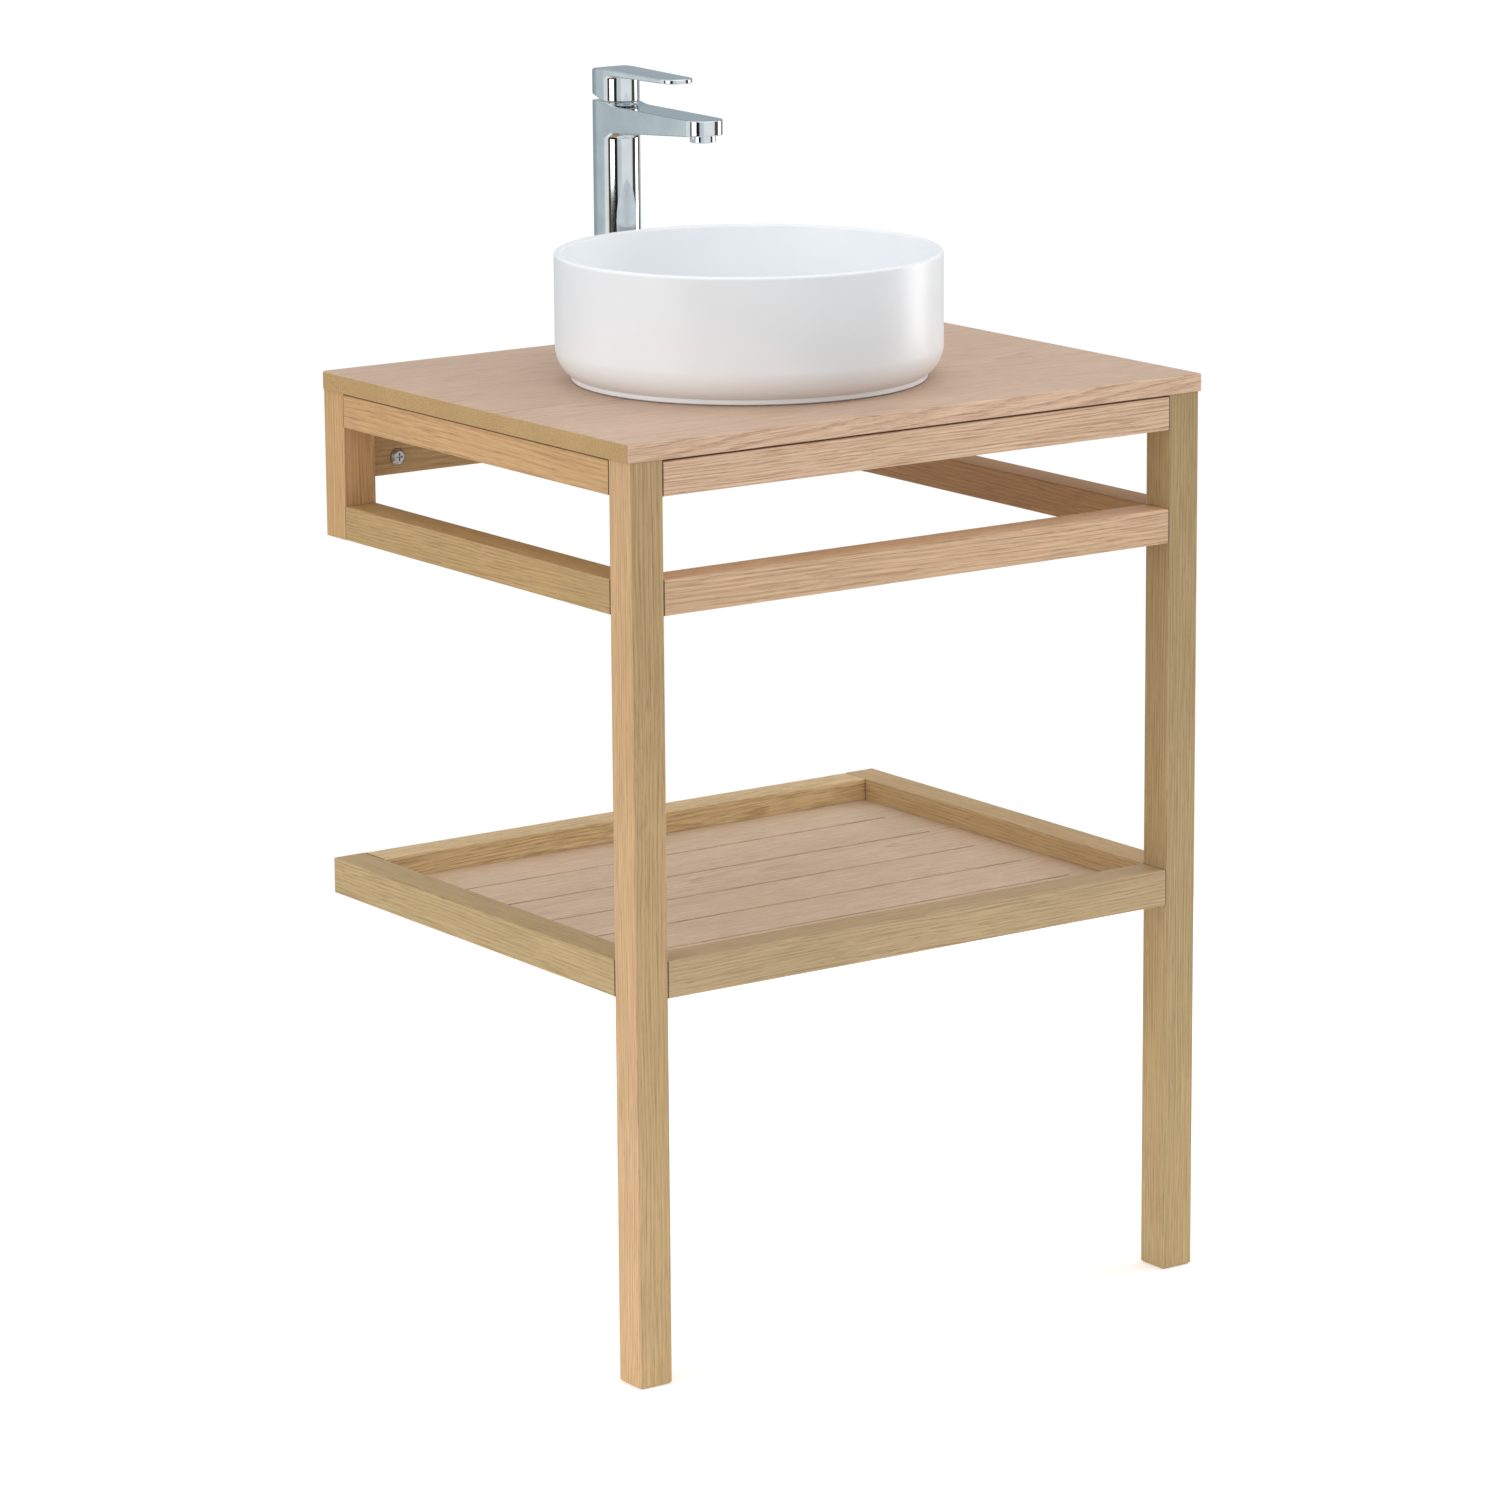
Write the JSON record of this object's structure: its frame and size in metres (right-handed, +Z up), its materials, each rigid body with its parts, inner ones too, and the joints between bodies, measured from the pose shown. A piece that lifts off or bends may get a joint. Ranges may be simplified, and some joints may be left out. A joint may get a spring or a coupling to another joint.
{
  "type": "vessel sink on vanity",
  "caption": "Round white vessel basin with a tall lever mixer on an open oak washstand with a grooved slatted shelf, front legs and a wall batten.",
  "frame": {"origin": "on the floor line of the wall, midway between the sides: the point where the back of the washstand meets the wall, at floor level", "axes": "+X to the right as seen from the front, +Y into the wall, +Z up; the front faces -Y"},
  "size_m": [0.6, 0.525, 1.056],
  "materials": {
    "oak_frame": "oiled oak, straight grain",
    "oak_worktop": "oiled oak board, fine cathedral grain along its length",
    "oak_shelf": "oiled oak with routed grooves",
    "beech_dowel": "plain beech",
    "zinc_screw": "zinc plated steel",
    "white_ceramic": "white glaze, satin",
    "sealant": "white silicone",
    "chrome": "polished chrome plate on brass",
    "brass": "machined brass",
    "black_rubber": "moulded rubber",
    "grey_plastic": "moulded plastic",
    "disc_ceramic": "ground alumina",
    "steel_pin": "ground steel"
  },
  "bodies": {
    "vanity": {"aerator_housing": "chrome", "aerator_insert": "grey_plastic", "aerator_washer": "black_rubber", "basin": "white_ceramic", "basin_seal": "sealant", "batten_dowels": "beech_dowel", "cartridge_fixed_disc": "disc_ceramic", "cartridge_housing": "grey_plastic", "cartridge_nut": "brass", "front_left_leg": "oak_frame", "front_lower_rail": "oak_frame", "front_rail_dowels": "beech_dowel", "front_right_leg": "oak_frame", "front_upper_rail": "oak_frame", "left_lower_rail": "oak_frame", "left_upper_rail": "oak_frame", "mixer_back_nut": "brass", "mixer_base_seal": "black_rubber", "mixer_body": "chrome", "mixer_inlet_block": "brass", "mixer_rubber_washer": "black_rubber", "mixer_steel_washer": "zinc_screw", "mixer_tail": "brass", "rear_left_post": "oak_frame", "rear_right_post": "oak_frame", "right_lower_rail": "oak_frame", "right_upper_rail": "oak_frame", "shelf_back_bar": "oak_frame", "shelf_dowels": "beech_dowel", "shelf_floor": "oak_shelf", "shelf_front_bar": "oak_frame", "shelf_left_bar": "oak_frame", "shelf_right_bar": "oak_frame", "side_rail_dowels": "beech_dowel", "wall_batten": "oak_frame", "wall_screws": "zinc_screw", "waste_basin_gasket": "black_rubber", "waste_body": "chrome", "waste_click_housing": "brass", "waste_flange_gasket": "black_rubber", "waste_nut": "brass", "waste_under_gasket": "black_rubber", "waste_washer": "zinc_screw", "worktop": "oak_worktop", "worktop_screws": "zinc_screw"},
    "mixer_turret": {"cartridge_turret": "grey_plastic", "cartridge_pin": "steel_pin"},
    "mixer_lever": {"lever_handle": "chrome", "cartridge_stem": "brass", "lever_grub_screw": "zinc_screw", "lever_index_plug": "grey_plastic"},
    "mixing_disc": {"cartridge_moving_disc": "disc_ceramic"},
    "waste_plug": {"waste_plug_cap": "chrome", "waste_plug_seal": "black_rubber", "waste_plug_stem": "brass"}
  },
  "joints": [
    {"name": "lever_swivel", "type": "hinge", "parent": "vanity", "child": "mixer_turret", "pos_m": [-0.023, -0.059, 1.0175], "axis": [0, 0, 1], "range_deg": [-45, 45]},
    {"name": "lever_lift", "type": "hinge", "parent": "mixer_turret", "child": "mixer_lever", "pos_m": [-0.023, -0.059, 1.0175], "axis": [-1, 0, 0], "range_deg": [0, 17]},
    {"name": "disc_slide", "type": "slide", "parent": "mixer_turret", "child": "mixing_disc", "axis": [0, -1, 0], "range_m": [0, 0.0048]},
    {"name": "plug_press", "type": "slide", "parent": "vanity", "child": "waste_plug", "axis": [0, 0, 1], "range_m": [-0.009, 0]}
  ],
  "couplings": [
    {"joint": "disc_slide", "follows": "lever_lift", "m_per_rad": 0.0159}
  ]
}
